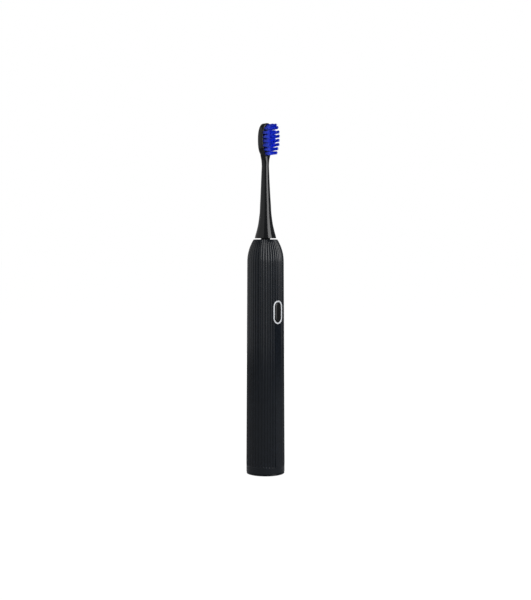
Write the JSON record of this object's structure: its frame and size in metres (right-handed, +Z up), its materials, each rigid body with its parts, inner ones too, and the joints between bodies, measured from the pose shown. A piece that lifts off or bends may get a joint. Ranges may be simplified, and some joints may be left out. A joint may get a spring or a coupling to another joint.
{
  "type": "electric toothbrush",
  "caption": "Slim upright sonic toothbrush: ribbed black handle with a pill-shaped button in a silver ring, and a slip-on head with blue bristles.",
  "frame": {"origin": "centre of the foot, on the surface that the toothbrush stands on", "axes": "+Z up along the handle's axis, -Y to the front, where the button and the bristles are, +X to the right seen from the front"},
  "size_m": [0.0268, 0.0267, 0.243],
  "materials": {
    "satin_black": "satin moulded, very fine texture",
    "head_black": "semi-gloss moulded",
    "button_black": "polished",
    "silver_ring": "satin",
    "blue_bristles": "fine nylon filaments",
    "black_rubber": "matte",
    "grey_plastic": "moulded",
    "steel": "bright",
    "nickel": "plated strip",
    "copper": "enamelled wire",
    "bronze": "sintered",
    "magnet": "nickel-plated",
    "board_green": "solder mask",
    "chip_black": "epoxy",
    "led_white": "clear cap",
    "cell_sleeve": "steel can in a plain shrink sleeve",
    "foam_grey": "foam"
  },
  "bodies": {
    "handle": {"handle_shell": "satin_black", "base_cap": "satin_black", "base_seal": "black_rubber", "shaft_seal": "black_rubber", "seal_retainer": "grey_plastic", "button_ring": "silver_ring", "button_gasket": "black_rubber", "switch_body": "chip_black", "chassis": "grey_plastic", "main_board": "board_green", "controller_chip": "chip_black", "status_led": "led_white", "board_screw_1": "steel", "board_screw_2": "steel", "charge_coil": "copper", "battery_pad": "foam_grey", "battery_cell": "cell_sleeve", "battery_tab_bottom": "nickel", "battery_tab_top": "nickel", "motor_case": "steel", "motor_bottom_cap": "grey_plastic", "motor_top_cap": "grey_plastic", "motor_bottom_bearing": "bronze", "motor_top_bearing": "bronze", "stator_coil": "copper", "motor_damper": "black_rubber"},
    "drive": {"rotor_magnet": "magnet", "drive_shaft": "steel"},
    "brush_head": {"head_body": "head_black", "head_socket_insert": "grey_plastic", "bristle_tuft_01": "blue_bristles", "bristle_tuft_02": "blue_bristles", "bristle_tuft_03": "blue_bristles", "bristle_tuft_04": "blue_bristles", "bristle_tuft_05": "blue_bristles", "bristle_tuft_06": "blue_bristles", "bristle_tuft_07": "blue_bristles", "bristle_tuft_08": "blue_bristles", "bristle_tuft_09": "blue_bristles", "bristle_tuft_10": "blue_bristles", "bristle_tuft_11": "blue_bristles", "bristle_tuft_12": "blue_bristles", "bristle_tuft_13": "blue_bristles", "bristle_tuft_14": "blue_bristles", "bristle_tuft_15": "blue_bristles", "bristle_tuft_16": "blue_bristles", "bristle_tuft_17": "blue_bristles", "bristle_tuft_18": "blue_bristles", "bristle_tuft_19": "blue_bristles", "bristle_tuft_20": "blue_bristles", "bristle_tuft_21": "blue_bristles", "bristle_tuft_22": "blue_bristles", "bristle_tuft_23": "blue_bristles", "bristle_tuft_24": "blue_bristles", "bristle_tuft_25": "blue_bristles", "bristle_tuft_26": "blue_bristles", "bristle_tuft_27": "blue_bristles"},
    "button": {"button_cap": "button_black"},
    "plunger": {"switch_plunger": "grey_plastic"}
  },
  "joints": [
    {"name": "drive_swing", "type": "hinge", "parent": "handle", "child": "drive", "pos_m": [0, 0, 0.117], "axis": [0, 0, 1], "range_deg": [-5, 5], "stiffness_Nm_per_rad": 0.25},
    {"name": "head_pull", "type": "slide", "parent": "drive", "child": "brush_head", "axis": [0, 0, 1], "range_m": [0, 0.025]},
    {"name": "button_press", "type": "slide", "parent": "handle", "child": "button", "axis": [0, 1, 0], "range_m": [0, 0.0003], "stiffness_N_per_m": 4000},
    {"name": "plunger_press", "type": "slide", "parent": "handle", "child": "plunger", "axis": [0, 1, 0], "range_m": [0, 0.0003]}
  ],
  "couplings": [
    {"joint": "plunger_press", "follows": "button_press", "ratio": 1}
  ]
}
